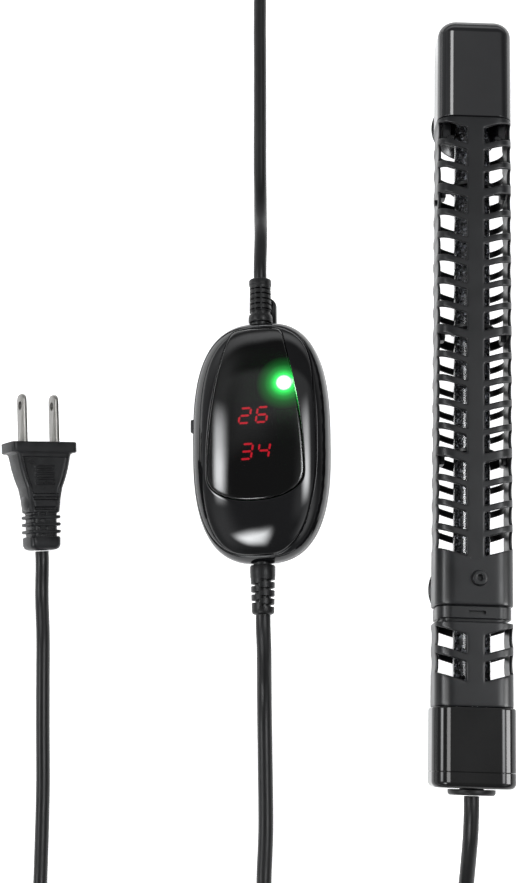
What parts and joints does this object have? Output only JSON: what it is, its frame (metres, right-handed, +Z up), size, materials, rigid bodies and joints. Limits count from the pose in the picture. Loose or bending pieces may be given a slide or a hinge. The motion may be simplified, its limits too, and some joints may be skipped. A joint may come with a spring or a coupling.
{
  "type": "submersible aquarium heater",
  "caption": "Quartz aquarium heater in a slotted black guard with suction cups, in-line digital controller, cords and two-pin plug.",
  "frame": {"origin": "on the surface that the heater lies on, under the middle of the heater's box", "axes": "+Y along the heater towards its capped tip, +Z up out of the face with the boss, +X across; the controller and the plug lie on the -X side"},
  "size_m": [0.2283, 0.4867, 0.033],
  "materials": {
    "cage_plastic": "satin moulded nylon, fine grain",
    "gloss_black": "polished black ABS",
    "lens_smoke": "smoked acrylic window, polished",
    "quartz": "clear fused quartz tube",
    "quartz_sand": "dark granular quartz fill",
    "ceramic_white": "matt off-white ceramic",
    "steel": "drawn bright steel",
    "silicone": "soft black silicone",
    "relief_rubber": "matt moulded black PVC, fine texture",
    "button_plastic": "satin black",
    "epoxy": "cast black epoxy",
    "wire_red": "red insulation",
    "wire_white": "white insulation",
    "board_green": "green solder mask",
    "led_display": "red seven-segment display module",
    "led_green": "green light-emitting diode",
    "component_black": "moulded black component case",
    "relay_blue": "blue relay case",
    "nickel": "nickel-plated brass, satin",
    "cord_vinyl": "matt black PVC cord sheath"
  },
  "bodies": {
    "heater": {"lower_cage": "cage_plastic", "lock_collar": "cage_plastic", "base_housing": "gloss_black", "base_end_plate": "gloss_black", "controller_front_shell": "gloss_black", "controller_back_shell": "gloss_black", "display_lens": "lens_smoke", "quartz_tube": "quartz", "tube_fill": "quartz_sand", "ceramic_core": "ceramic_white", "fuse": "ceramic_white", "heating_wire": "steel", "thermal_fuse": "steel", "case_screw_1": "steel", "case_screw_2": "steel", "case_screw_3": "steel", "case_screw_4": "steel", "tube_seal": "silicone", "o_ring": "silicone", "cable_gland": "relief_rubber", "mains_strain_relief": "relief_rubber", "heater_strain_relief": "relief_rubber", "plug_body": "relief_rubber", "temp_sensor": "button_plastic", "potting_block": "epoxy", "lead_live": "wire_red", "lead_neutral": "wire_white", "circuit_board": "board_green", "display_upper": "led_display", "display_lower": "led_display", "status_led": "led_green", "tact_switch": "component_black", "transformer": "component_black", "capacitor": "component_black", "relay": "relay_blue", "blade_left": "nickel", "blade_right": "nickel", "heater_cord_a": "cord_vinyl", "heater_cord_coil": "cord_vinyl", "heater_cord_b": "cord_vinyl", "mains_cord_a": "cord_vinyl", "mains_cord_coil": "cord_vinyl", "mains_cord_b": "cord_vinyl"},
    "guard": {"guard_cage": "cage_plastic", "top_cap": "gloss_black", "tip_cushion": "silicone", "tube_support_1": "cage_plastic", "tube_support_2": "cage_plastic", "tube_support_3": "cage_plastic"},
    "upper_cup": {"suction_cup_upper": "silicone"},
    "lower_cup": {"suction_cup_lower": "silicone"},
    "button": {"set_button": "button_plastic"}
  },
  "joints": [
    {"name": "guard_slide", "type": "slide", "parent": "heater", "child": "guard", "axis": [0, 1, 0], "range_m": [0, 0.225]},
    {"name": "upper_cup_turn", "type": "hinge", "parent": "guard", "child": "upper_cup", "pos_m": [0, 0.113, 0], "axis": [0, 0, 1], "continuous": true},
    {"name": "lower_cup_turn", "type": "hinge", "parent": "guard", "child": "lower_cup", "pos_m": [0, -0.07205, 0], "axis": [0, 0, 1], "continuous": true},
    {"name": "button_press", "type": "slide", "parent": "heater", "child": "button", "axis": [0.9674, 0.0385, 0.2504], "range_m": [0, 0.0006], "stiffness_N_per_m": 400}
  ]
}
